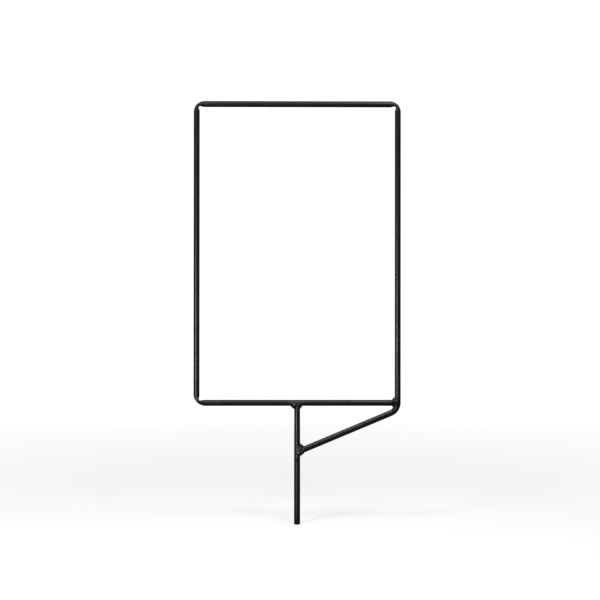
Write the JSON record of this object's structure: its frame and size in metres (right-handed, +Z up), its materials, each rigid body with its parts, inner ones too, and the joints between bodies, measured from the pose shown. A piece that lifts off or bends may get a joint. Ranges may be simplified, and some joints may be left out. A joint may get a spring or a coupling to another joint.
{
  "type": "open flag frame",
  "caption": "Rectangular frame of bent steel tube on a plain grip pin, with a diagonal brace from one corner to the pin; holds a flag, scrim or diffusion sheet in a stand's grip head.",
  "frame": {"origin": "middle of the pin's lower end", "axes": "+Z up along the pin, +X along the bottom bar towards the braced corner, Y square to the plane of the loop; the loop is centred on the pin in X"},
  "size_m": [0.3238, 0.0116, 0.6611],
  "materials": {
    "black_paint": "semi-gloss black paint on steel tube",
    "painted_weld": "the same paint over a rippled weld"
  },
  "bodies": {
    "root": {"frame_tube": "black_paint", "stem_pin": "black_paint", "pin_weld": "painted_weld", "brace_weld": "painted_weld", "bar_end_weld": "painted_weld"}
  },
  "joints": []
}
